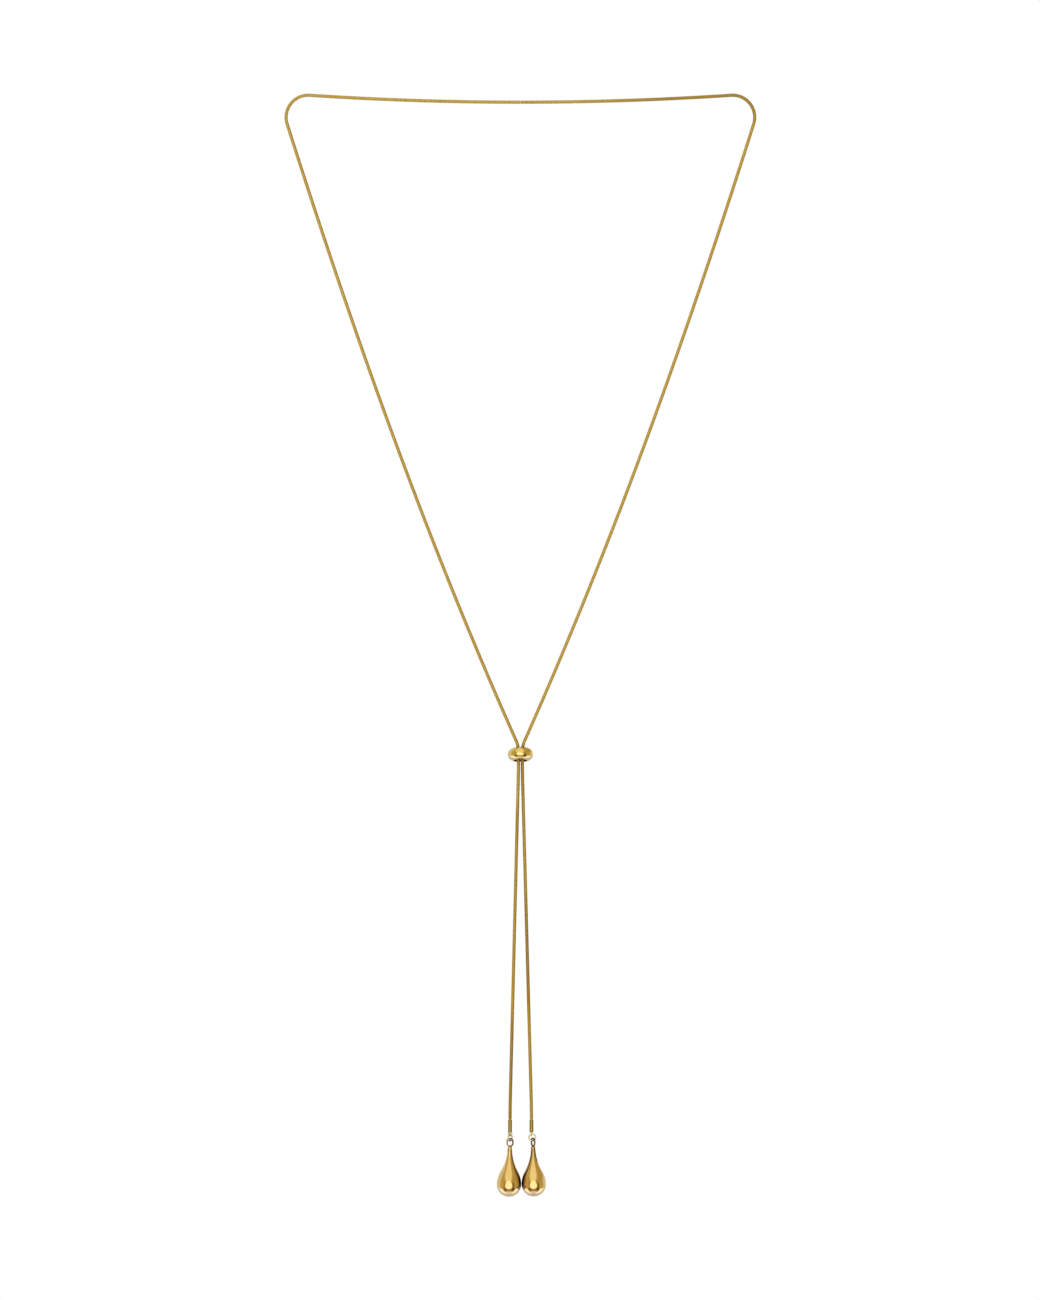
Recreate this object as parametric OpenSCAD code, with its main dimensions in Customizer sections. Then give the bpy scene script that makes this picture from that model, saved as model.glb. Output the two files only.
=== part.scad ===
// Lariat necklace: a round snake chain that runs twice through a slider bead
// and ends in two teardrops. It is shown hanging, in the plane y = 0, and
// its origin is the middle of the back run, where it lies on the neck.

/* [Chain] */
// Diameter of the round snake chain
chain_d = 1.0; // [0.8:0.05:1.3]
// Reach of the chain's middle line to each side, at the top corners
half_width = 65.6; // [55:0.1:80]
// Radius of each top corner, where the back run turns into a side
corner_r = 6.2; // [4:0.1:10]
// Sag of the back run below the tops of the corners
back_sag = 1.95; // [0.5:0.05:5]
// Share by which a side hangs steeper than its mean slope under the corner
top_bow = 0.13; // [0:0.01:0.3]
// Share by which a side hangs flatter than its mean slope above the bead
bottom_bow = 0.22; // [0:0.01:0.35]
// Space between the two strands where they run side by side
strand_gap = 0.12; // [0.1:0.01:0.5]
// Radius of the bend that a strand makes as it enters the bead
entry_r = 7.4; // [5:0.1:12]
// Depth below the bead's top face at which the strands run upright
entry_depth = 0.9; // [0.3:0.1:1.5]

/* [Slider bead] */
// Depth of the bead's middle below the middle of the back run
slider_drop = 182.65; // [150:0.05:230]
// Greatest diameter of the bead
bead_d = 7.1; // [6:0.1:10]
// Height of the bead between its flat ends
bead_h = 3.5; // [3:0.05:5]
// Lean of the bead, which brings its lower end to the front
bead_lean = 14; // [0:1:15]
// Width of each flat end, round the hole
bead_rim = 0.64; // [0.4:0.02:1]
// Clearance round the strands in the bead's hole
bead_clear = 0.08; // [0.06:0.01:0.3]

/* [Tails and end caps] */
// Depth of the wires that carry the jump rings below the bead's middle
tail_drop = 106.75; // [70:0.05:140]
// Distance of the left tail's end from the middle plane
left_end_x = 2.9; // [2.2:0.05:6]
// Distance of the right tail's end from the middle plane
right_end_x = 3.1; // [2.2:0.05:6]
// Thickness of the cap's wall
cap_wall = 0.08; // [0.08:0.01:0.3]
// Length of the end caps
cap_len = 3.4; // [1.8:0.05:4]
// Depth to which the chain's end is pressed in all round, to fit its cap
crimp = 0.07; // [0:0.01:0.1]
// Clearance between the chain and its cap
cap_clear = 0.04; // [0.02:0.01:0.06]
// Thickness of the cap's closed end
cap_floor = 0.45; // [0.3:0.05:0.8]
// Bevel round the cap's closed end
cap_bevel = 0.12; // [0.05:0.01:0.2]
// Radius of an end loop, to the middle of its wire
loop_r = 0.56; // [0.5:0.01:0.8]
// Wire of the end loops
loop_wire = 0.38; // [0.3:0.01:0.45]

/* [Jump rings] */
// Radius of a jump ring, to the middle of its wire
ring_r = 0.95; // [0.9:0.01:1.4]
// Wire of the jump rings
ring_wire = 0.4; // [0.3:0.01:0.45]
// Turn of the left ring and its end loop about the upright, away from edge-on
left_ring_turn = 35; // [0:1:35]
// Outward lean of the right ring, in degrees
right_ring_lean = 25; // [0:1:25]
// Clearance between an end loop and its jump ring
hook_gap = 0.07; // [0.05:0.01:0.12]

/* [Drops] */
// Greatest diameter of a drop
drop_d = 6.86; // [5:0.02:9]
// Height of a drop, from its lowest point to the top of its neck
drop_h = 14.1; // [11:0.02:20]
// Diameter of the neck
neck_d = 1.26; // [1:0.02:2]
// Rounding of the neck's top
neck_round = 0.4; // [0.1:0.01:0.4]
// Radius of the shoulder in the drop's outline, above its widest place
shoulder_r = 7.0; // [5:0.1:9]
// Radius of a drop's eye, to the middle of its wire
eye_r = 0.8; // [0.75:0.01:1.1]
// Wire of the eyes
eye_wire = 0.46; // [0.35:0.01:0.55]
// Length of the straight sides of an eye
eye_side = 0.5; // [0.1:0.05:1]
// Clearance between a jump ring and the eye that hangs in it
eye_gap = 0.2; // [0.18:0.01:0.3]
// Place of the right eye on its ring, in degrees outward from the lowest point
right_eye_place = 14; // [0:1:14]
// Turn of the right drop's eye about the upright, away from edge-on
right_eye_turn = 34; // [0:1:34]
// Gap between the two drops
drop_gap = 0.06; // [0.05:0.01:1]
// Place of that gap to the right of the middle plane
pair_x = 0.27; // [0:0.01:0.5]

/* [Hidden] */
$fn = 64;

// Sides of the chain's tube, and the steps of each stretch of one half
TUBE_SIDES = 8;
BACK_STEPS = 6;
CORNER_STEPS = 14;
SIDE_STEPS = 11;
ENTRY_STEPS = 3;
TAIL_STEPS = 8;
// Share of a tail, at each end, in which it turns from upright to its slant
TAIL_EASE = 0.06;

// Back run and corner
corner_x = half_width - corner_r;
back_lean = atan(2 * back_sag / corner_x);
back_end_x = corner_x - corner_r * sin(back_lean);
corner_z = back_z(back_end_x) - corner_r * cos(back_lean);

// Bead, and the strands side by side in it
bead_z = -slider_drop;
strand_x = (chain_d + strand_gap) / 2;
upright_z = bead_z + bead_h / 2 - entry_depth;
entry_shift = entry_r - sqrt(entry_r * entry_r - entry_depth * entry_depth);
bead_end_y = bead_h / 2 * sin(bead_lean);
bead_hole_r = norm([strand_x + entry_shift, bead_end_y]) + chain_d / 2 + bead_clear;
bead_flat_r = bead_hole_r + bead_rim;
bead_edge_in = bead_d / 2 - bead_flat_r;
bead_edge_r = (bead_edge_in * bead_edge_in + bead_h * bead_h / 4) / (2 * bead_edge_in);

// Sides: their leans from the upright at both ends, and their end points
mean_slope = (half_width - strand_x) / (corner_z - bead_z);
top_lean = atan(mean_slope * (1 - top_bow));
bottom_lean = atan(mean_slope * (1 + bottom_bow));
side_top = [corner_x + corner_r * cos(top_lean), corner_z - corner_r * sin(top_lean)];
side_end = [
    strand_x + entry_r * (1 - cos(bottom_lean)),
    upright_z + entry_r * sin(bottom_lean)
];
side_fall = side_top[1] - side_end[1];

// End caps: hook_z is the middle of the end loop's lowest wire
hook_z = bead_z - tail_drop;
cap_z = hook_z + 2 * loop_r - loop_wire / 3;
crimp_z = cap_z + cap_len + cap_clear;
crimp_r = chain_d / 2 - crimp;
chain_end_z = cap_z + cap_floor + cap_clear;

// Jump rings: their middles, which hang below the loops' wires
ring_fall = ring_r - (loop_wire + ring_wire) / 2 - hook_gap;
left_ring_mid = [-left_end_x, hook_z - ring_fall];
right_ring_mid = [right_end_x, hook_z] + ring_fall * below(right_ring_lean);

// Drops: each hangs at its ring's wire, and leans out where the two would meet
left_hinge = left_ring_mid + ring_r * below(0);
right_hinge = right_ring_mid + ring_r * below(right_eye_place);
eye_hang = (ring_wire + eye_wire) / 2 + eye_gap;
eye_bottom = eye_hang - 2 * eye_r - eye_side;
neck_top = eye_bottom - eye_wire / 8;
drop_r = drop_d / 2;
neck_r = neck_d / 2;
neck_rise = drop_h - drop_r;
neck_edge = neck_rise - neck_round;
bulb_z = neck_top - neck_rise;
left_drop_lean = outward_lean((drop_d + drop_gap) / 2 - pair_x + left_hinge[0]);
right_drop_lean = outward_lean((drop_d + drop_gap) / 2 + pair_x - right_hinge[0]);

// Unit step down, leaning outward to the right by the angle a
function below(a) = [sin(a), -cos(a)];

// Lean that moves a drop's middle out by the given way, and none if it is clear
function outward_lean(way) = asin(max(0, way) / -bulb_z);

// Height of the back run over its middle
function back_z(x) = x * x * tan(back_lean) / (2 * back_end_x);

// Value between a and b at the share t, with the given slopes at both ends
function hermite(a, b, slope_a, slope_b, t) =
    (2 * pow(t, 3) - 3 * pow(t, 2) + 1) * a
    + (pow(t, 3) - 2 * pow(t, 2) + t) * slope_a
    + (3 * pow(t, 2) - 2 * pow(t, 3)) * b
    + (pow(t, 3) - pow(t, 2)) * slope_b;

// Share of the way at the share t, straight but for its eased ends
function eased(t) =
    t < TAIL_EASE ? t * t / (2 * TAIL_EASE * (1 - TAIL_EASE))
    : t > 1 - TAIL_EASE ? 1 - eased(1 - t)
    : (t - TAIL_EASE / 2) / (1 - TAIL_EASE);

// Point of a side at the share t, from the corner down to the bead
function side_point(t) = [
    hermite(side_top[0], side_end[0], -side_fall * tan(top_lean), -side_fall * tan(bottom_lean), t),
    side_top[1] - side_fall * t
];

// Point of a tail at the share t, from the bead down to its pressed end
function tail_point(end_x, t) = [
    strand_x + (end_x - strand_x) * eased(t),
    (1 - t) * (bead_z - bead_h / 2) + t * (crimp_z + crimp)
];

// The right half of the chain's middle line, from the back run's middle to its end
function half_route(end_x) = concat(
    [for (i = [0:BACK_STEPS - 1]) let (x = back_end_x * i / BACK_STEPS) [x, back_z(x)]],
    [for (i = [0:CORNER_STEPS - 1])
        let (a = 90 + back_lean - (90 + back_lean + top_lean) * i / CORNER_STEPS)
        [corner_x + corner_r * cos(a), corner_z + corner_r * sin(a)]],
    [for (i = [0:SIDE_STEPS - 1]) side_point(i / SIDE_STEPS)],
    [for (i = [0:ENTRY_STEPS])
        let (a = bottom_lean * (1 - i / ENTRY_STEPS))
        [strand_x + entry_r * (1 - cos(a)), upright_z + entry_r * sin(a)]],
    [for (i = [0:TAIL_STEPS]) tail_point(end_x, i / TAIL_STEPS)],
    [[end_x, crimp_z], [end_x, chain_end_z]]
);

// Unit direction of a route at its point i. It is level at the back run's middle,
// so that the two halves meet there face to face
function direction(route, i) =
    let (
        step = i == 0
            ? [route[1][0], 0]
            : route[min(i + 1, len(route) - 1)] - route[i - 1]
    )
    step / norm(step);

// Tube round a route that lies in the plane y = 0, with a radius for each of its points
module tube(route, radii, sides) {
    rings = len(route);
    points = [
        for (i = [0:rings - 1])
        let (d = direction(route, i), r = radii[i])
        for (k = [0:sides - 1])
        let (a = 360 * k / sides)
        [route[i][0] - d[1] * r * cos(a), r * sin(a), route[i][1] + d[0] * r * cos(a)]
    ];
    walls = [
        for (i = [0:rings - 2])
        for (k = [0:sides - 1])
        let (
            a = i * sides + k,
            b = i * sides + (k + 1) % sides,
            c = a + sides,
            d = b + sides
        )
        each [[a, b, d], [a, d, c]]
    ];
    first = [for (k = [sides - 1:-1:0]) k];
    last = [for (k = [0:sides - 1]) (rings - 1) * sides + k];
    polyhedron(points, concat(walls, [first, last]));
}

// Round ring of wire in the plane x = 0
module wire_ring(r, wire) {
    rotate([0, 90, 0])
        rotate_extrude()
            translate([r, 0]) circle(d = wire);
}

// Ring of wire with straight sides in the plane x = 0, its top wire at the origin
module oblong_ring(r, side, wire) {
    for (end = [0, 1])
        translate([0, 0, -r - end * side])
            rotate([0, 90, 0]) rotate([0, 0, 90 + 180 * end])
                rotate_extrude(angle = 180)
                    translate([r, 0]) circle(d = wire);
    for (y = [-r, r])
        translate([0, y, -r - side])
            cylinder(d = wire, h = side);
}

// Half of the one real chain, on the side given as -1 for left or 1 for right
module half_chain(side, end_x) {
    route = [for (p = half_route(end_x)) [side * p[0], p[1]]];
    radii = [for (p = route) p[1] > crimp_z ? chain_d / 2 : crimp_r];
    color("#C7AF7B")
        tube(route, radii, TUBE_SIDES);
}

module left_chain() {
    half_chain(-1, left_end_x);
}

module right_chain() {
    half_chain(1, right_end_x);
}

// The outline's round edge runs from the flat ends to the widest place
module slider_bead() {
    color("#E3BE77")
        translate([0, 0, bead_z])
            rotate([-bead_lean, 0, 0]) rotate_extrude() {
                translate([bead_hole_r, -bead_h / 2])
                    square([bead_rim, bead_h]);
                intersection() {
                    translate([bead_d / 2 - bead_edge_r, 0]) circle(r = bead_edge_r);
                    translate([bead_hole_r, -bead_h / 2]) square([bead_d / 2, bead_h]);
                }
            }
}

// Cup over the chain's end with a loop below it, in the plane x = 0 before its turn
module end_cap(turn) {
    bore_r = crimp_r + cap_clear;
    cap_r = bore_r + cap_wall;
    color("#D9B977") {
        translate([0, 0, cap_z])
            rotate_extrude()
                polygon([
                    [0, 0],
                    [cap_r - cap_bevel, 0],
                    [cap_r, cap_bevel],
                    [cap_r, cap_len],
                    [bore_r, cap_len],
                    [bore_r, cap_floor],
                    [0, cap_floor]
                ]);
        translate([0, 0, hook_z + loop_r])
            rotate([0, 0, turn]) wire_ring(loop_r, loop_wire);
    }
}

module left_end_cap() {
    translate([-left_end_x, 0, 0]) end_cap(90 - left_ring_turn);
}

module right_end_cap() {
    translate([right_end_x, 0, 0]) end_cap(0);
}

module jump_ring() {
    color("#EAD9A8")
        wire_ring(ring_r, ring_wire);
}

module left_jump_ring() {
    translate([left_ring_mid[0], 0, left_ring_mid[1]])
        rotate([0, 0, -left_ring_turn]) jump_ring();
}

module right_jump_ring() {
    translate([right_ring_mid[0], 0, right_ring_mid[1]])
        rotate([0, 0, 90]) jump_ring();
}

// A drop about its hinge: the bulb below, and the eye round the ring's wire
module drop(eye_turn) {
    flare_r = (pow(neck_r - drop_r + shoulder_r, 2) + pow(neck_edge, 2) - pow(shoulder_r, 2))
        / (2 * (drop_r - neck_r));
    meet = atan2(neck_edge, neck_r + flare_r - drop_r + shoulder_r);
    meet_x = drop_r - shoulder_r + shoulder_r * cos(meet);
    meet_z = shoulder_r * sin(meet);
    color("#DDB36A") {
        translate([0, 0, bulb_z])
            rotate_extrude() {
                intersection() {
                    circle(r = drop_r);
                    translate([0, -drop_r]) square(drop_r);
                }
                intersection() {
                    translate([drop_r - shoulder_r, 0]) circle(r = shoulder_r);
                    square([drop_r, meet_z]);
                }
                difference() {
                    translate([0, meet_z]) square([meet_x, neck_edge - meet_z]);
                    translate([neck_r + flare_r, neck_edge]) circle(r = flare_r);
                }
                translate([0, neck_edge]) square([neck_r - neck_round, neck_round]);
                translate([neck_r - neck_round, neck_edge])
                    intersection() {
                        circle(r = neck_round);
                        square(neck_round);
                    }
            }
        translate([0, 0, eye_hang])
            rotate([0, 0, eye_turn]) oblong_ring(eye_r, eye_side, eye_wire);
    }
}

module left_drop() {
    translate([left_hinge[0], 0, left_hinge[1]])
        rotate([0, left_drop_lean, 0]) drop(90);
}

module right_drop() {
    translate([right_hinge[0], 0, right_hinge[1]])
        rotate([0, -right_drop_lean, 0]) drop(right_eye_turn);
}

left_chain();
right_chain();
slider_bead();
left_end_cap();
right_end_cap();
left_jump_ring();
right_jump_ring();
left_drop();
right_drop();
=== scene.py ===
"""Looks of the lariat necklace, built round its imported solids.

Lengths are in millimetres until a mesh is made, and the sizes repeat those of part.scad.
X is to the right and Z up as seen from the front, and the necklace hangs in the plane Y = 0.
"""

import math

import bpy
import numpy as np
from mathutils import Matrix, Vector

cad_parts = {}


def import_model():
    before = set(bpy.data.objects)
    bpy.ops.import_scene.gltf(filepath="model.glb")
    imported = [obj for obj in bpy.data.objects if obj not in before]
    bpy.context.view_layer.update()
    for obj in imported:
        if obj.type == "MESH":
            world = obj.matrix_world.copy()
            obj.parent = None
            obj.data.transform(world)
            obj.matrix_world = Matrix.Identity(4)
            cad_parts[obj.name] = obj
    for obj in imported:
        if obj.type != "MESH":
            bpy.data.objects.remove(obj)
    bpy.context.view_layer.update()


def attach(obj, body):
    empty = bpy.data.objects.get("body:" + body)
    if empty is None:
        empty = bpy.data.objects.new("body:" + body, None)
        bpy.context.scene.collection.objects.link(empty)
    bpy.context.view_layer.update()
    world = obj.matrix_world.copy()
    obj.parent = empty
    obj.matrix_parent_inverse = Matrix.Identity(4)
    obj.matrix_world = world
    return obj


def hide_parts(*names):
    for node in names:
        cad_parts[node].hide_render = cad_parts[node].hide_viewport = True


MM = 0.001
# The bead and the drops are finer than their solids, whose facets cut a little off their widest
# places, so they are this much smaller
FINE = 0.998

# The picture: its size in pixels, what one pixel covers, and where x = 0 and z = 0 lie in it
PICTURE_W, PICTURE_H = 1040, 1300
MM_PER_PIXEL = 0.28
ORIGIN_PX = (520.4, 102.2)

# Chain
CHAIN_R = 0.5
HALF_WIDTH = 65.6
CORNER_R = 6.2
BACK_SAG = 1.95
TOP_BOW = 0.13
BOTTOM_BOW = 0.22
STRAND_GAP = 0.12
ENTRY_R = 7.4
ENTRY_DEPTH = 0.9
TAIL_EASE = 0.06
LINK_PITCH = 0.35

# Slider bead
BEAD_Z = -182.65
BEAD_R = 3.55
BEAD_H = 3.5
BEAD_LEAN = 14
BEAD_RIM = 0.64
BEAD_CLEAR = 0.08
# Rounding of the hole's edges, and softness of the edges round the flat ends
BEAD_LIP = 0.1
BEAD_SOFT = 0.06

# Tails and end caps
HOOK_Z = BEAD_Z - 106.75
END_X = {"left": 2.9, "right": 3.1}
CAP_WALL = 0.08
CAP_CLEAR = 0.04
CAP_LEN = 3.4
CRIMP = 0.07
CAP_FLOOR = 0.45
CAP_BEVEL = 0.12
LOOP_R = 0.56
LOOP_WIRE = 0.38

# Jump rings
RING_R = 0.95
RING_WIRE = 0.4
LEFT_RING_TURN = 35
RIGHT_RING_LEAN = 25
HOOK_GAP = 0.07
# The closed seam: its place round each ring in degrees, its depth as a share, and half its length
SEAM_PLACE = {"left": 200, "right": 145}
SEAM_DENT = 0.09
SEAM_HALF = 0.022

# Drops
DROP_R = 3.43
DROP_H = 14.1
NECK_R = 0.63
NECK_ROUND = 0.4
SHOULDER_R = 7.0
EYE_R = 0.8
EYE_WIRE = 0.46
EYE_SIDE = 0.5
EYE_GAP = 0.2
RIGHT_EYE_PLACE = 14
RIGHT_EYE_TURN = 34
DROP_GAP = 0.06
PAIR_X = 0.27

# The height of the pale floor far below the necklace, in metres
FLOOR_Z = -0.42

# What follows from those sizes, by the formulas of part.scad
CORNER_X = HALF_WIDTH - CORNER_R
BACK_LEAN = math.atan(2 * BACK_SAG / CORNER_X)
BACK_END_X = CORNER_X - CORNER_R * math.sin(BACK_LEAN)
CORNER_Z = BACK_END_X * math.tan(BACK_LEAN) / 2 - CORNER_R * math.cos(BACK_LEAN)
STRAND_X = CHAIN_R + STRAND_GAP / 2
UPRIGHT_Z = BEAD_Z + BEAD_H / 2 - ENTRY_DEPTH
ENTRY_SHIFT = ENTRY_R - math.sqrt(ENTRY_R**2 - ENTRY_DEPTH**2)
BEAD_END_Y = BEAD_H / 2 * math.sin(math.radians(BEAD_LEAN))
BEAD_HOLE_R = math.hypot(STRAND_X + ENTRY_SHIFT, BEAD_END_Y) + CHAIN_R + BEAD_CLEAR
MEAN_SLOPE = (HALF_WIDTH - STRAND_X) / (CORNER_Z - BEAD_Z)
TOP_LEAN = math.atan(MEAN_SLOPE * (1 - TOP_BOW))
BOTTOM_LEAN = math.atan(MEAN_SLOPE * (1 + BOTTOM_BOW))
CAP_Z = HOOK_Z + 2 * LOOP_R - LOOP_WIRE / 3
CRIMP_Z = CAP_Z + CAP_LEN + CAP_CLEAR
CHAIN_END_Z = CAP_Z + CAP_FLOOR + CAP_CLEAR
RING_FALL = RING_R - (LOOP_WIRE + RING_WIRE) / 2 - HOOK_GAP
EYE_HANG = (RING_WIRE + EYE_WIRE) / 2 + EYE_GAP
EYE_BOTTOM = EYE_HANG - 2 * EYE_R - EYE_SIDE
NECK_TOP = EYE_BOTTOM - EYE_WIRE / 8
NECK_RISE = DROP_H - DROP_R
NECK_EDGE = NECK_RISE - NECK_ROUND
BULB_Z = NECK_TOP - NECK_RISE


def below(degrees):
    """Unit step down, leaning outward to the right by the angle."""
    a = math.radians(degrees)
    return np.array([math.sin(a), -math.cos(a)])


LEFT_RING_MID = np.array([-END_X["left"], HOOK_Z - RING_FALL])
RIGHT_RING_MID = np.array([END_X["right"], HOOK_Z]) + RING_FALL * below(RIGHT_RING_LEAN)
LEFT_HINGE = LEFT_RING_MID + RING_R * below(0)
RIGHT_HINGE = RIGHT_RING_MID + RING_R * below(RIGHT_EYE_PLACE)


def outward_lean(way):
    """Lean of a drop, in radians, that moves its middle out by the given way."""
    return math.asin(max(0.0, way) / -BULB_Z)


LEFT_DROP_LEAN = outward_lean(DROP_R + DROP_GAP / 2 - PAIR_X + LEFT_HINGE[0])
RIGHT_DROP_LEAN = outward_lean(DROP_R + DROP_GAP / 2 + PAIR_X - RIGHT_HINGE[0])


# Meshes: each helper gives an array of points and a list of faces


def joined(parts):
    """One mesh of several."""
    points, faces, first = [], [], 0
    for p, f in parts:
        points.append(p)
        faces += [[first + i for i in face] for face in f]
        first += len(p)
    return np.vstack(points), faces


def revolved(outline, steps):
    """Surface of an outline of (radius, z) points turned about Z. A point on the axis is a pole."""
    angles = np.arange(steps) * 2 * math.pi / steps
    points, rings = [], []
    for r, z in outline:
        if r < 1e-9:
            rings.append([len(points)] * steps)
            points.append((0.0, 0.0, z))
        else:
            rings.append(list(range(len(points), len(points) + steps)))
            points += [(r * math.cos(a), r * math.sin(a), z) for a in angles]
    faces = []
    for low, high in zip(rings, rings[1:]):
        for k in range(steps):
            n = (k + 1) % steps
            face = [low[k], low[n], high[n], high[k]]
            face = [v for i, v in enumerate(face) if v not in face[:i]]
            if len(face) > 2:
                faces.append(face)
    return np.array(points), faces


def swept_loop(centres, normals, radii, steps):
    """Closed wire round a flat loop of centres in the plane x = 0. The normals point out of it."""
    count = len(centres)
    points = []
    for (y, z), (ny, nz), r in zip(centres, normals, radii):
        for k in range(steps):
            a = 2 * math.pi * k / steps
            points.append((r * math.sin(a), y + ny * r * math.cos(a), z + nz * r * math.cos(a)))
    faces = []
    for i in range(count):
        j = (i + 1) % count
        for k in range(steps):
            n = (k + 1) % steps
            faces.append([i * steps + k, i * steps + n, j * steps + n, j * steps + k])
    return np.array(points), faces


def wire_ring(r, wire, seam=None, steps=96, sides=20):
    """Round ring of wire in the plane x = 0, with a closed seam at the angle seam, in degrees."""
    centres, normals, radii = [], [], []
    for i in range(steps):
        a = 2 * math.pi * i / steps
        if seam is not None:
            # The rings of points crowd together at the seam
            off = math.copysign(abs(a - math.pi) ** 2.2 / math.pi**1.2, a - math.pi)
            a = math.radians(seam) + off
            way = abs(a - math.radians(seam)) * r
            dent = SEAM_DENT * math.exp(-((way / SEAM_HALF) ** 2))
        else:
            dent = 0.0
        centres.append((r * math.cos(a), r * math.sin(a)))
        normals.append((math.cos(a), math.sin(a)))
        radii.append(wire / 2 * (1 - dent))
    return swept_loop(centres, normals, radii, sides)


def oblong_ring(r, side, wire, steps=40, sides=20):
    """Ring of wire with straight sides in the plane x = 0, its top wire at the origin."""
    centres, normals = [], []
    for end, shift in ((0, -r), (math.pi, -r - side)):
        for i in range(steps + 1):
            a = end + math.pi * i / steps
            centres.append((r * math.cos(a), shift + r * math.sin(a)))
            normals.append((math.cos(a), math.sin(a)))
    return swept_loop(centres, normals, [wire / 2] * len(centres), sides)


def arc(cx, cz, r, start, end, steps):
    """Points of an arc between two angles in degrees, both ends included."""
    return [
        (cx + r * math.cos(math.radians(a)), cz + r * math.sin(math.radians(a)))
        for a in np.linspace(start, end, steps + 1)
    ]


def turned_z(points, degrees):
    a = math.radians(degrees)
    c, s = math.cos(a), math.sin(a)
    return points @ np.array([[c, s, 0], [-s, c, 0], [0, 0, 1]])


def leaned_y(points, radians):
    """Turns points about the Y axis, as a turn from Z towards X."""
    c, s = math.cos(radians), math.sin(radians)
    return points @ np.array([[c, 0, -s], [0, 1, 0], [s, 0, c]])


def leaned_x(points, degrees):
    """Turns points about the X axis, as a turn that brings low points to the front."""
    a = math.radians(degrees)
    c, s = math.cos(a), math.sin(a)
    return points @ np.array([[1, 0, 0], [0, c, -s], [0, s, c]])


def moved(points, x, z):
    return points + np.array([x, 0.0, z])


# Chain


def hermite(a, b, slope_a, slope_b, t):
    return (
        (2 * t**3 - 3 * t**2 + 1) * a
        + (t**3 - 2 * t**2 + t) * slope_a
        + (3 * t**2 - 2 * t**3) * b
        + (t**3 - t**2) * slope_b
    )


def eased(t):
    """Share of the way at the share t, straight but for its eased ends."""
    if t < TAIL_EASE:
        return t * t / (2 * TAIL_EASE * (1 - TAIL_EASE))
    if t > 1 - TAIL_EASE:
        return 1 - eased(1 - t)
    return (t - TAIL_EASE / 2) / (1 - TAIL_EASE)


def half_route(side, end_x):
    """Fine points (x, z) of half of the middle line, from the back run's middle to a tail's end."""
    side_top = (
        CORNER_X + CORNER_R * math.cos(TOP_LEAN),
        CORNER_Z - CORNER_R * math.sin(TOP_LEAN),
    )
    side_end = (
        STRAND_X + ENTRY_R * (1 - math.cos(BOTTOM_LEAN)),
        UPRIGHT_Z + ENTRY_R * math.sin(BOTTOM_LEAN),
    )
    fall = side_top[1] - side_end[1]
    slope_top, slope_end = -fall * math.tan(TOP_LEAN), -fall * math.tan(BOTTOM_LEAN)
    route = []
    for x in np.linspace(0, BACK_END_X, 80, endpoint=False):
        route.append((x, x * x * math.tan(BACK_LEAN) / (2 * BACK_END_X)))
    for a in np.linspace(math.pi / 2 + BACK_LEAN, -TOP_LEAN, 60, endpoint=False):
        route.append((CORNER_X + CORNER_R * math.cos(a), CORNER_Z + CORNER_R * math.sin(a)))
    for t in np.linspace(0, 1, 240, endpoint=False):
        x = hermite(side_top[0], side_end[0], slope_top, slope_end, t)
        route.append((x, side_top[1] - fall * t))
    for a in np.linspace(BOTTOM_LEAN, 0, 12):
        route.append((STRAND_X + ENTRY_R * (1 - math.cos(a)), UPRIGHT_Z + ENTRY_R * math.sin(a)))
    top, low = BEAD_Z - BEAD_H / 2, CRIMP_Z + CRIMP
    for t in np.linspace(0, 1, 160):
        route.append((STRAND_X + (end_x - STRAND_X) * eased(t), (1 - t) * top + t * low))
    route.append((end_x, CHAIN_END_Z))
    return np.array(route) * np.array([side, 1.0])


# One link's profile along the chain: the place on the axis, the radius, and how much painted shade
# it has there.
# A link is a bulged band whose end tucks under the next one, and painted shade darkens its seam,
# where the links meet.
LINK_PROFILE = [
    (-0.155, 0.36, 1.0),
    (-0.17, 0.415, 0.8),
    (-0.14, 0.455, 0.25),
    (-0.06, 0.477, 0.0),
    (0.04, 0.479, 0.0),
    (0.12, 0.464, 0.1),
    (0.175, 0.425, 0.8),
    (0.22, 0.36, 1.0),
]
LINK_SIDES = 16
# How far a link reaches past its place
LINK_REACH = 0.36
# Each link's rim rises and falls twice round the chain, and nests in its neighbour's
LINK_WAVE = 0.12
# Turn of the pattern along the chain, in radians a millimetre
LINK_TWIST = 0.011
# How far ahead and behind the chain's direction at a link is read
LINK_LOOK = 0.4
# Small random changes of a link's place, in millimetres, and of its radius, as a share
LINK_JITTER = 0.004
# Each half is cut into pieces, by length from the back run's middle, to keep a piece's faces few
STRETCHES = (("back", 0, 70.0), ("side", 70.0, 259.0), ("tail", 259.0, 1000.0))


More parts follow.
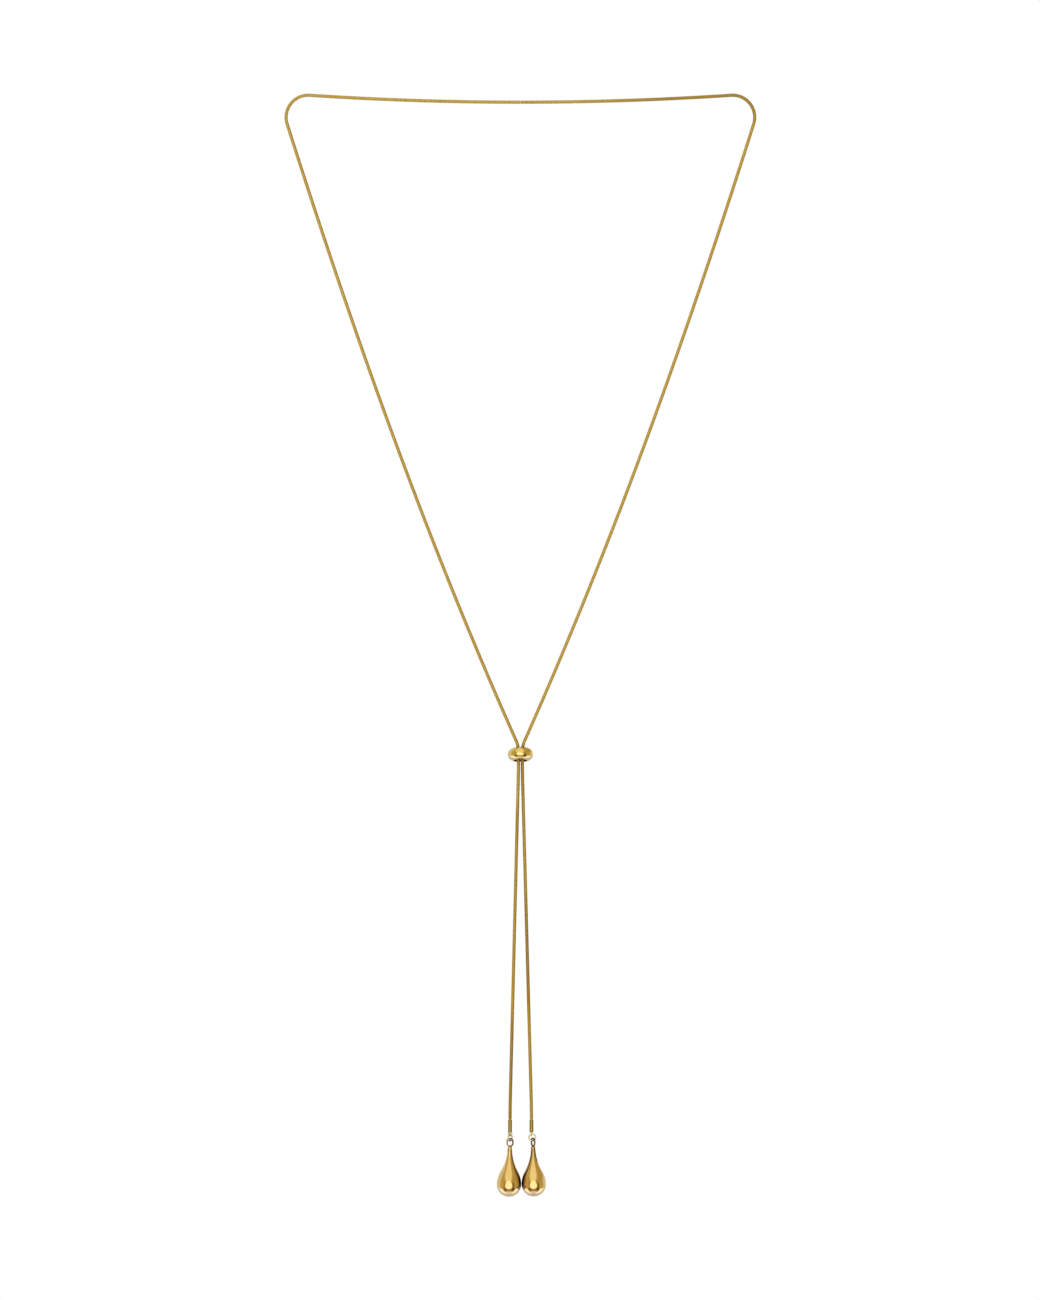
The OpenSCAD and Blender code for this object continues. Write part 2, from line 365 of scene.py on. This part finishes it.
def chain_links(route, start, end):
    """Links from one length along the route to another, each in the middle of its pitch."""
    steps = np.diff(route, axis=0)
    lengths = np.concatenate([[0], np.cumsum(np.hypot(steps[:, 0], steps[:, 1]))])
    places = (np.arange(round(start / LINK_PITCH), round(end / LINK_PITCH)) + 0.5) * LINK_PITCH
    places = places[places < lengths[-1] - LINK_REACH]

    def at(where):
        """Points of the route at lengths along it."""
        return np.stack([np.interp(where, lengths, route[:, i]) for i in (0, 1)], axis=1)

    mid = at(places)
    way = at(places + LINK_LOOK) - at(places - LINK_LOOK)
    way /= np.linalg.norm(way, axis=1, keepdims=True)
    angles = np.arange(LINK_SIDES) * 2 * math.pi / LINK_SIDES
    profile = np.array(LINK_PROFILE)
    rng = np.random.default_rng(7)
    jitter = rng.normal(0, 1, (len(places), 2))
    # Arrays over link, place in the profile, and side
    turn = LINK_TWIST * places[:, None, None]
    wave = LINK_WAVE * np.cos(2 * angles[None, None, :] + 2 * turn)
    along = profile[None, :, 0, None] + wave + LINK_JITTER * jitter[:, 0, None, None]
    radius = profile[None, :, 1, None] * (1 + LINK_JITTER * jitter[:, 1, None, None])
    # The links at the tail's end are pressed in, to fit their cap
    pressed = mid[:, 1] < CRIMP_Z + LINK_REACH
    radius = radius * np.where(pressed, 1 - CRIMP / CHAIN_R, 1.0)[:, None, None]
    out = radius * np.cos(angles)[None, None, :]
    depth = radius * np.sin(angles)[None, None, :]
    nx, nz = -way[:, 1, None, None], way[:, 0, None, None]
    x = mid[:, 0, None, None] + along * way[:, 0, None, None] + out * nx
    z = mid[:, 1, None, None] + along * way[:, 1, None, None] + out * nz
    points = np.stack([x, depth, z], axis=-1).reshape(-1, 3)
    rows, sides = len(profile), LINK_SIDES
    one = []
    for i in range(rows):
        j = (i + 1) % rows
        for k in range(sides):
            n = (k + 1) % sides
            one.append([i * sides + k, i * sides + n, j * sides + n, j * sides + k])
    one = np.array(one)
    faces = (one[None] + (np.arange(len(places)) * rows * sides)[:, None, None]).reshape(-1, 4)
    shade = np.tile(np.repeat(profile[:, 2], sides), len(places))
    return points, faces, shade


# Polished pieces: each function gives a mesh, and for each of its points how dark it is

# How far from its middle the bead's end starts to be darkened with painted shade, and is in full
# painted shade
BEAD_END_SHADE = (0.75, 1.1)


def bead_mesh():
    """The leaning bead. Its flat ends and hole are darkened with painted shade."""
    flat_r = BEAD_HOLE_R + BEAD_RIM
    edge_in = BEAD_R - flat_r
    edge_r = (edge_in**2 + BEAD_H**2 / 4) / (2 * edge_in)
    swing = math.degrees(math.asin(BEAD_H / 2 / edge_r))
    half = BEAD_H / 2
    outline = arc(BEAD_HOLE_R + BEAD_LIP, half - BEAD_LIP, BEAD_LIP, 180, 90, 6)
    outline += [(BEAD_HOLE_R + BEAD_RIM / 2, half)]
    outline += [
        (flat_r - BEAD_SOFT * 1.5, half),
        (flat_r - BEAD_SOFT * 0.6, half - BEAD_SOFT * 0.12),
    ]
    edge_start = swing - math.degrees(BEAD_SOFT / edge_r) * 2
    outline += arc(BEAD_R - edge_r, 0, edge_r, edge_start, 0, 40)
    mirrored = [(r, -z) for r, z in reversed(outline[:-1])]
    whole = outline + mirrored
    whole += [whole[0]]
    points, faces = revolved(whole[::-1], 128)
    dark = np.where(np.hypot(points[:, 0], points[:, 1]) < flat_r - 0.05, 1.0, 0.0)
    # The painted shade leaves out the middle, where the strands run, so that it stays bright
    dark *= np.interp(np.abs(points[:, 0]), BEAD_END_SHADE, (0.0, 1.0))
    return moved(leaned_x(points * FINE, BEAD_LEAN), 0, BEAD_Z), faces, dark


def cap_mesh(side):
    """The cup over the chain's end, and the loop below it."""
    bore_r = CHAIN_R - CRIMP + CAP_CLEAR
    cap_r = bore_r + CAP_WALL
    lip = CAP_WALL / 2
    outline = [(0.0, 0.0), (cap_r - CAP_BEVEL - 0.03, 0.0)]
    outline += arc(cap_r - CAP_BEVEL, CAP_BEVEL, CAP_BEVEL, -90, 0, 6)
    outline += arc(cap_r - lip, CAP_LEN - lip, lip, 0, 180, 8)
    outline += [(bore_r, CAP_FLOOR), (0.0, CAP_FLOOR)]
    cup, cup_faces = revolved(outline, 48)
    turn = 90 - LEFT_RING_TURN if side == "left" else 0
    loop, loop_faces = wire_ring(LOOP_R, LOOP_WIRE, steps=64)
    loop = moved(turned_z(loop, turn), 0, LOOP_R + HOOK_Z - CAP_Z)
    points, faces = joined([(cup, cup_faces), (loop, loop_faces)])
    # The cup is darker, and the loop is bright
    shade = np.interp(points[:, 2], (-0.25, 0.0), (0.0, 1.0))
    x = -END_X["left"] if side == "left" else END_X["right"]
    return moved(points, x, CAP_Z), faces, shade


# How far the painted shade round the place where the drop hangs on a ring reaches
CONTACT_SHADE_R = 0.45


def ring_mesh(side):
    """A jump ring. Painted shade darkens it where the drop hangs on it."""
    points, faces = wire_ring(RING_R, RING_WIRE, seam=SEAM_PLACE[side], steps=120)
    turn, mid = (-LEFT_RING_TURN, LEFT_RING_MID) if side == "left" else (90, RIGHT_RING_MID)
    low = RING_R * (below(0) if side == "left" else below(RIGHT_EYE_PLACE))
    points = turned_z(points, turn)
    way = np.hypot(np.hypot(points[:, 0] - low[0], points[:, 1]), points[:, 2] - low[1])
    return moved(points, mid[0], mid[1]), faces, np.exp(-((way / CONTACT_SHADE_R) ** 4))


# Painted shade on the drops: heights over the bulb's middle, and how dark the painted shade makes
# the metal there.
# The necks are darkened with painted shade all round, the flanks that face the other drop from the
# bulb up, and the right drop's outer flank from higher up.
NECK_SHADE = {
    "left": ([8.5, 9.1, 9.7, 10.3], [0.0, 0.2, 0.42, 0.2]),
    "right": ([6.8, 7.6, 8.5, 9.7, 10.3], [0.0, 0.2, 0.45, 0.72, 0.5]),
}
INNER_FLANK_SHADE = ([-0.5, 1.8, 6.0], [0.0, 0.7, 0.9])
OUTER_FLANK_SHADE = ([5.5, 7.0], [0.0, 1.0])
# How far each flank's painted shade reaches in from the drop's edge, and how softly it ends
INNER_REACH = 0.56
OUTER_REACH = 0.5
REACH_SOFT = 0.34
# The flanks' painted shade ends this far below the neck's top, and fades out over this height
FLANK_SHADE_TOP = 0.6
FLANK_SHADE_FADE = 0.9
# How much painted shade darkens the eyes, and by how much less of it the outer side of the left one
# has
EYE_SHADE = {"left": 0.95, "right": 1.0}
EYE_SHADE_LESS = {"left": 0.5, "right": 0.0}


def drop_painted_shade(bulb, side):
    """Painted shade of the points of a bulb and its neck."""
    height = bulb[:, 2]

    def flank(way, reach, shade_by_height):
        """Painted shade of the flank that faces left (way -1) or right (way 1)."""
        in_from_edge = np.hypot(bulb[:, 0], bulb[:, 1]) - way * bulb[:, 0]
        near = np.clip((reach - in_from_edge) / REACH_SOFT, 0.0, 1.0)
        return near * np.interp(height, *shade_by_height)

    inner = 1 if side == "left" else -1
    shade = flank(inner, INNER_REACH, INNER_FLANK_SHADE)
    if side == "right":
        shade = np.maximum(shade, flank(-inner, OUTER_REACH, OUTER_FLANK_SHADE))
    shade *= np.clip((NECK_RISE - FLANK_SHADE_TOP - height) / FLANK_SHADE_FADE, 0.0, 1.0)
    return np.maximum(shade, np.interp(height, *NECK_SHADE[side]))


def eye_painted_shade(eye, side):
    """Painted shade of an eye's points. The left drop's has less of it low down on its outer side.
    """
    outward = np.interp(eye[:, 0], (-0.3, 0.3), (1.0, 0.0))
    low = np.interp(eye[:, 2], (-0.1, 0.3), (1.0, 0.0))
    return EYE_SHADE[side] - EYE_SHADE_LESS[side] * outward * low


def drop_mesh(side):
    """A drop about its hinge: the bulb below, and the eye round the ring's wire."""
    # The shoulder's arc runs into the neck's hollow flare, both of them without a kink
    inset = SHOULDER_R - DROP_R + NECK_R
    flare_r = (inset**2 + NECK_EDGE**2 - SHOULDER_R**2) / (2 * (DROP_R - NECK_R))
    meet = math.degrees(math.atan2(NECK_EDGE, inset + flare_r))
    outline = [(0.0, -DROP_R)] + arc(0, 0, DROP_R, -90, 0, 48)[1:]
    outline += arc(DROP_R - SHOULDER_R, 0, SHOULDER_R, 0, meet, 40)[1:]
    outline += arc(NECK_R + flare_r, NECK_EDGE, flare_r, 180 + meet, 180, 40)[1:]
    outline += arc(NECK_R - NECK_ROUND, NECK_EDGE, NECK_ROUND, 0, 90, 10)[1:]
    outline += [(0.0, NECK_RISE)]
    bulb, bulb_faces = revolved(outline, 128)
    eye, eye_faces = oblong_ring(EYE_R, EYE_SIDE, EYE_WIRE)
    turn = 90 if side == "left" else RIGHT_EYE_TURN
    eye = moved(turned_z(eye, turn), 0, EYE_HANG)
    points, faces = joined([(moved(bulb * FINE, 0, BULB_Z), bulb_faces), (eye, eye_faces)])
    shade = np.concatenate([drop_painted_shade(bulb, side), eye_painted_shade(eye, side)])
    if side == "left":
        lean, hinge = LEFT_DROP_LEAN, LEFT_HINGE
    else:
        lean, hinge = -RIGHT_DROP_LEAN, RIGHT_HINGE
    return moved(leaned_y(points, lean), hinge[0], hinge[1]), faces, shade


# Materials


class Nodes:
    """Short ways to add and join a material's or the world's nodes."""

    def __init__(self, tree):
        self.tree = tree

    def add(self, kind, **settings):
        node = self.tree.nodes.new(kind)
        for key, value in settings.items():
            setattr(node, key, value)
        return node

    def join(self, out, socket):
        self.tree.links.new(out, socket)

    def math(self, operation, a, b=None, c=None):
        node = self.add("ShaderNodeMath", operation=operation)
        for socket, value in zip(node.inputs, (a, b, c)):
            if value is None:
                continue
            if isinstance(value, (int, float)):
                socket.default_value = value
            else:
                self.join(value, socket)
        return node.outputs[0]

    def mixed(self, factor, a, b):
        """Colour from a to b by the factor. a and b are colours or outputs of nodes."""
        node = self.add("ShaderNodeMix", data_type="RGBA")
        for name, value in (("Factor", factor), ("A", a), ("B", b)):
            if isinstance(value, tuple):
                node.inputs[name].default_value = (*value, 1.0)
            else:
                self.join(value, node.inputs[name])
        return node.outputs["Result"]

    def noise(self, vector, scale, detail=2.0, roughness=0.5):
        node = self.add("ShaderNodeTexNoise")
        node.inputs["Scale"].default_value = scale
        node.inputs["Detail"].default_value = detail
        node.inputs["Roughness"].default_value = roughness
        self.join(vector, node.inputs["Vector"])
        return node.outputs[0]

    def ranged(self, value, low, high, to_low, to_high, smooth=False):
        node = self.add("ShaderNodeMapRange")
        if smooth:
            node.interpolation_type = "SMOOTHSTEP"
        node.inputs["From Min"].default_value = low
        node.inputs["From Max"].default_value = high
        node.inputs["To Min"].default_value = to_low
        node.inputs["To Max"].default_value = to_high
        self.join(value, node.inputs["Value"])
        return node.outputs[0]


# Each tail is darkened with painted shade from just below the bead, most there and less further
# down, and it is darker along one more stretch further down.
# On the left tail both lie lower, by these lengths in metres.
LEFT_TAIL_LOWER = 0.0145
LEFT_STRETCH_LOWER = 0.032
# The colours of the tails' painted shade and darker stretch, and of the painted shade at the right
# end of the back run
TAIL_TONE = (0.55, 0.33, 0.085)
BACK_SHADE_TONE = (0.51, 0.34, 0.1)
# What the painted shade leaves of a reflection at a grazing view
UNSHADED_GRAZE = (1.0, 1.0, 1.0)
SHADE_GRAZE = (0.4, 0.27, 0.12)


def chain_tones(n, place, tint):
    """The chain's colour by its place in metres: the tint, with painted shade on the tails and at
    the right end of the back run, and a darker stretch down each tail.
    """
    parts = n.add("ShaderNodeSeparateXYZ")
    n.join(place, parts.inputs[0])
    x, _, z = parts.outputs
    left = n.ranged(x, -0.0003, 0.0003, 1.0, 0.0)

    # Painted shade down each tail, strongest just below the bead
    tail_z = n.math("MULTIPLY_ADD", left, LEFT_TAIL_LOWER, z)
    shade_below_bead = n.ranged(tail_z, -0.18, -0.185, 0.0, 1.0)
    further_down = n.ranged(tail_z, -0.19, -0.197, 0.75, 0.42)
    stretch_z = n.math("MULTIPLY_ADD", left, LEFT_STRETCH_LOWER, z)
    stretch_top = n.ranged(stretch_z, -0.221, -0.227, 0.0, 0.55)
    stretch_end = n.ranged(stretch_z, -0.252, -0.258, 1.0, 0.0)
    tail = n.math("MULTIPLY", shade_below_bead, further_down)
    tail = n.math("ADD", tail, n.math("MULTIPLY", stretch_top, stretch_end))

    # Painted shade at the right end of the back run
    right_end = n.ranged(x, 0.015, 0.04, 0.0, 0.85)
    on_back_run = n.ranged(z, -0.008, -0.002, 0.0, 1.0)
    back = n.math("MULTIPLY", right_end, on_back_run)
    return n.mixed(back, n.mixed(tail, tint, TAIL_TONE), BACK_SHADE_TONE)


def gold(name, tint, dark, rough, wave=0.0, scratch=0.3, chain=False):
    """Gold plate: slight changes of tone, rubbed patches, polishing lines and a soft waviness.

    tint and dark are the metal's colours where it is clean and where a mesh's painted shade is 1,
    rough the range of its roughness, wave the depth of its waviness in micrometres, and
    scratch the strength of its polishing lines. The chain has its own changes of tone too, with
    painted shade on its tails and back run.
    """
    material = bpy.data.materials.new(name)
    material.use_nodes = True
    n = Nodes(material.node_tree)
    shader = material.node_tree.nodes["Principled BSDF"]
    shader.inputs["Metallic"].default_value = 1.0
    place = n.add("ShaderNodeTexCoord").outputs["Object"]

    patches = n.noise(place, 420.0, 3.0)
    grain = n.noise(place, 5200.0, 2.0)
    clean = chain_tones(n, place, tint) if chain else tint
    shade = n.add("ShaderNodeAttribute", attribute_name="shade").outputs["Fac"]
    rubbed = n.ranged(patches, 0.35, 0.75, 0.0, 0.1)
    # Rubbed patches are the metal's own wear, and the mesh's shade adds painted shade
    wear_and_shade = n.math("MAXIMUM", rubbed, n.math("MULTIPLY", shade, 0.95))
    n.join(n.mixed(wear_and_shade, clean, dark), shader.inputs["Base Color"])
    # The painted shade dims reflections at a grazing view too
    n.join(n.mixed(shade, UNSHADED_GRAZE, SHADE_GRAZE), shader.inputs["Specular Tint"])

    uneven = n.math("ADD", n.math("MULTIPLY", patches, 0.6), n.math("MULTIPLY", grain, 0.4))
    n.join(n.ranged(uneven, 0.3, 0.7, *rough), shader.inputs["Roughness"])

    lines = n.add("ShaderNodeMapping")
    lines.inputs["Scale"].default_value = (1.0, 1.0, 0.12)
    n.join(place, lines.inputs["Vector"])
    scratches = n.noise(lines.outputs["Vector"], 9000.0, 3.0, 0.6)
    fine = n.add("ShaderNodeBump")
    fine.inputs["Strength"].default_value = scratch
    fine.inputs["Distance"].default_value = 1.5e-6
    n.join(scratches, fine.inputs["Height"])
    if wave:
        broad = n.add("ShaderNodeBump")
        broad.inputs["Strength"].default_value = 1.0
        broad.inputs["Distance"].default_value = wave * 1e-6
        n.join(n.noise(place, 650.0, 1.0), broad.inputs["Height"])
        n.join(broad.outputs["Normal"], fine.inputs["Normal"])
    n.join(fine.outputs["Normal"], shader.inputs["Normal"])
    return material


def add_piece(name, mesh, material, body, node, sharp=40):
    """Makes an object of a mesh in millimetres, which rides on body and stands for the node.

    Edges that turn by more than sharp, in degrees, stay hard.
    """
    points, faces, shade = mesh
    data = bpy.data.meshes.new(name)
    data.from_pydata((np.asarray(points) * MM).tolist(), [], [list(map(int, f)) for f in faces])
    data.update()
    attribute = data.attributes.new("shade", "FLOAT", "POINT")
    attribute.data.foreach_set("value", shade.astype(np.float32))
    data.materials.append(material)
    data.shade_smooth()
    data.set_sharp_from_angle(angle=math.radians(sharp))
    piece = bpy.data.objects.new(name, data)
    bpy.context.scene.collection.objects.link(piece)
    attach(piece, body)
    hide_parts(node)


# Stage: the light that comes from each part of the studio

ROOM_BAR = (0.4, 0.31, 0.07)
ROOM_SIDE = (0.56, 0.47, 0.16)
ROOM_OUT = (0.78, 0.78, 0.55)
ROOM_UPPER = (0.5, 0.41, 0.12)
CEILING = (0.85, 0.85, 0.6)
PANEL = (1.02, 0.97, 0.52)
TABLE = (1.38, 1.45, 1.34)
TABLE_BACK = (0.62, 0.68, 0.7)
TABLE_LOW = (0.85, 0.88, 0.85)
FRONT_STRIP = (0.36, 0.31, 0.16)
FRONT_CORNER = (0.2, 0.16, 0.06)
POST = (0.24, 0.19, 0.05)
POST_FOOT = (0.04, 0.03, 0.01)
ROUND_BOX = (1.5, 1.45, 1.0)


def make_floor():
    """Pale floor below the drops, in one body with soft rounded corners."""
    front, back, side, corner = 0.15, 0.5, 0.4, 0.1
    outline = []
    for cx, cy, start in (
        (side - corner, back - corner, 0),
        (corner - side, back - corner, 90),
        (corner - side, corner - front, 180),
        (side - corner, corner - front, 270),
    ):
        outline += arc(cx, cy, corner, start, start + 90, 12)
    data = bpy.data.meshes.new("floor")
    data.from_pydata([(x, y, FLOOR_Z) for x, y in outline], [], [list(range(len(outline)))])
    material = bpy.data.materials.new("floor_white")
    material.use_nodes = True
    shader = material.node_tree.nodes["Principled BSDF"]
    shader.inputs["Base Color"].default_value = (0.9, 0.9, 0.89, 1.0)
    shader.inputs["Roughness"].default_value = 0.8
    data.materials.append(material)
    floor = bpy.data.objects.new("floor", data)
    floor.visible_glossy = False
    bpy.context.scene.collection.objects.link(floor)


def make_world():
    """A plain white ground, and in the reflections a warm studio with soft light boxes."""
    world = bpy.data.worlds.new("studio")
    world.use_nodes = True
    bpy.context.scene.world = world
    tree = world.node_tree
    tree.nodes.clear()
    n = Nodes(tree)
    parts = n.add("ShaderNodeSeparateXYZ")
    n.join(n.add("ShaderNodeTexCoord").outputs["Generated"], parts.inputs[0])
    x, y, z = parts.outputs
    # Angles in degrees: from the front to the right, the same to either side, and up from level
    azimuth = n.math("MULTIPLY", n.math("ARCTAN2", x, n.math("MULTIPLY", y, -1.0)), 180 / math.pi)
    turn = n.math("ABSOLUTE", azimuth)
    rise = n.math("MULTIPLY", n.math("ARCSINE", z), 180 / math.pi)

    def ramp(value, start, end):
        """0 to 1 as value goes from start to end, softly."""
        return n.ranged(value, start, end, 0.0, 1.0, smooth=True)

    def both(a, b):
        return n.math("MULTIPLY", a, b)

    def feed(value, socket):
        if isinstance(value, tuple):
            socket.default_value = value
        else:
            n.join(value, socket)

    def lit(colour, mask, other):
        """Moves a colour to another one by the mask."""
        step = n.add("ShaderNodeVectorMath", operation="SUBTRACT")
        feed(other, step.inputs[0])
        feed(colour, step.inputs[1])
        out = n.add("ShaderNodeVectorMath", operation="MULTIPLY_ADD")
        n.join(step.outputs[0], out.inputs[0])
        n.join(mask, out.inputs[1])
        feed(colour, out.inputs[2])
        return out.outputs[0]

    # The room: dim beside the soft box, lighter towards the back and at the left, dimmer higher up
    colour = lit(ROOM_BAR, ramp(turn, 42, 56), ROOM_SIDE)
    high = both(ramp(rise, 4, 16), ramp(rise, 62, 48))
    colour = lit(colour, both(high, ramp(azimuth, -58, -50)), ROOM_UPPER)
    colour = lit(colour, both(ramp(turn, 88, 120), ramp(rise, 22, 8)), ROOM_OUT)
    colour = lit(colour, ramp(azimuth, -78, -100), ROOM_OUT)
    colour = lit(colour, ramp(rise, 66, 84), CEILING)
    # The tall soft box over the camera, wider higher up
    beside = n.math("ABSOLUTE", n.math("ADD", azimuth, 7.0))
    width = n.math("DIVIDE", beside, n.ranged(rise, 8, 48, 22.0, 52.0))
    colour = lit(colour, both(ramp(width, 1.4, 0.7), ramp(rise, -10, 8)), PANEL)
    # The table: its edge is low in front and rises to the sides, and its back is in shade
    aside = n.math("POWER", n.math("MULTIPLY", turn, 1 / 149), 1.6)
    edge = n.math("MULTIPLY_ADD", aside, 31.0, -42.0)
    table = lit(TABLE, ramp(turn, 95, 140), TABLE_BACK)
    under = ramp(n.math("SUBTRACT", edge, rise), -3, 3)
    colour = lit(colour, under, table)
    colour = lit(colour, both(ramp(rise, -62, -76), ramp(turn, 120, 80)), TABLE_LOW)
    # The dim strip of the table's front, under the round soft box
    strip = both(ramp(rise, -24, -34), ramp(rise, -74, -56))
    colour = lit(colour, both(ramp(turn, 82, 58), strip), FRONT_STRIP)
    corner = both(ramp(rise, -26, -33), ramp(rise, -58, -46))
    corner_width = both(ramp(turn, 22, 42), ramp(turn, 72, 60))
    colour = lit(colour, both(corner_width, corner), FRONT_CORNER)
    # The post at the right of the camera, and its black foot
    post = both(ramp(azimuth, 34, 42), ramp(azimuth, 60, 50))
    colour = lit(colour, both(post, both(ramp(rise, -46, -38), ramp(rise, 8, 0))), POST)
    colour = lit(colour, both(post, both(ramp(rise, -48, -42), ramp(rise, -22, -28))), POST_FOOT)
    # The round soft box round the camera, a little to its left
    across = n.math("MULTIPLY", n.math("ADD", azimuth, 3.0), 1 / 33)
    above = n.math("MULTIPLY", n.math("ADD", rise, 11.0), 1 / 27)
    place = n.math("SQRT", n.math("ADD", both(across, across), both(above, above)))
    colour = lit(colour, ramp(place, 1.12, 0.86), ROUND_BOX)

    seen = n.add("ShaderNodeBackground")
    seen.inputs["Color"].default_value = (1.0, 1.0, 1.0, 1.0)
    seen.inputs["Strength"].default_value = 1.0
    studio = n.add("ShaderNodeBackground")
    studio.inputs["Strength"].default_value = 1.0
    n.join(colour, studio.inputs["Color"])
    # Further reflections show a dimmer studio, so the metal darkens where pieces face each other
    depth = n.add("ShaderNodeLightPath").outputs["Ray Depth"]
    second, third = n.ranged(depth, 2.4, 2.6, 1.0, 0.45), n.ranged(depth, 3.4, 3.6, 1.0, 0.2)
    n.join(both(second, third), studio.inputs["Strength"])
    mix = n.add("ShaderNodeMixShader")
    path = n.add("ShaderNodeLightPath").outputs
    n.join(n.math("MAXIMUM", path["Is Camera Ray"], path["Is Diffuse Ray"]), mix.inputs[0])
    n.join(studio.outputs[0], mix.inputs[1])
    n.join(seen.outputs[0], mix.inputs[2])
    n.join(mix.outputs[0], n.add("ShaderNodeOutputWorld").inputs["Surface"])


def add_soft_box(name, place, target, size, power):
    """Square light of a size in metres and a power in watts, which isn't seen itself."""
    data = bpy.data.lights.new(name, "AREA")
    data.shape = "SQUARE"
    data.size = size
    data.energy = power
    box = bpy.data.objects.new(name, data)
    box.location = place
    box.rotation_euler = (Vector(target) - Vector(place)).to_track_quat("-Z", "Y").to_euler()
    box.visible_camera = False
    box.visible_glossy = False
    bpy.context.scene.collection.objects.link(box)


def make_camera():
    """Looks straight at the necklace from the front, with the photograph's framing."""
    data = bpy.data.cameras.new("camera")
    data.lens = 120
    data.sensor_width = 36
    frame_h = PICTURE_H * MM_PER_PIXEL * MM
    distance = frame_h / (data.sensor_width / data.lens)
    camera = bpy.data.objects.new("camera", data)
    camera.location = (
        (PICTURE_W / 2 - ORIGIN_PX[0]) * MM_PER_PIXEL * MM,
        -distance,
        (ORIGIN_PX[1] - PICTURE_H / 2) * MM_PER_PIXEL * MM,
    )
    camera.rotation_euler = (math.pi / 2, 0, 0)
    data.clip_start, data.clip_end = 0.01, 20
    bpy.context.scene.collection.objects.link(camera)
    bpy.context.scene.camera = camera


def main():
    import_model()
    view = bpy.context.scene.view_settings
    view.view_transform = "Standard"
    make_camera()
    make_world()
    make_floor()
    add_soft_box("soft_box_top", (0, 0.1, 0.9), (0, 0.1, FLOOR_Z), size=0.9, power=14)

    chain_gold = gold(
        "chain_gold", (0.75, 0.53, 0.17), (0.26, 0.16, 0.04), (0.3, 0.45), scratch=0.4, chain=True
    )
    bead_gold = gold("bead_gold", (0.89, 0.645, 0.33), (0.08, 0.05, 0.015), (0.05, 0.12), wave=5)
    cap_gold = gold("cap_gold", (0.9, 0.8, 0.62), (0.36, 0.25, 0.06), (0.14, 0.3), scratch=0.5)
    ring_gold = gold("ring_gold", (0.86, 0.77, 0.6), (0.2, 0.13, 0.05), (0.08, 0.2))
    drop_gold = gold("drop_gold", (0.87, 0.61, 0.36), (0.17, 0.09, 0.02), (0.06, 0.12), wave=5)

    for side, sign in (("left", -1), ("right", 1)):
        route = half_route(sign, END_X[side])
        for part, start, end in STRETCHES:
            links = chain_links(route, start, end)
            name = f"chain_links_{side}_{part}"
            add_piece(name, links, chain_gold, "necklace", f"{side}_chain", sharp=75)

    bead = bead_mesh()
    add_piece("slider_bead_polished", bead, bead_gold, "necklace", "slider_bead")
    for side in ("left", "right"):
        cap, ring, drop = cap_mesh(side), ring_mesh(side), drop_mesh(side)
        for name, mesh, material, slot, body, node in (
            ("end_cap", cap, cap_gold, "cap_gold", "necklace", f"{side}_end_cap"),
            ("ring", ring, ring_gold, "ring_gold", f"{side}_ring", f"{side}_jump_ring"),
            ("drop", drop, drop_gold, "drop_gold", f"{side}_teardrop", f"{side}_drop"),
        ):
            add_piece(f"{side}_{name}_polished", mesh, material, body, node)


main()
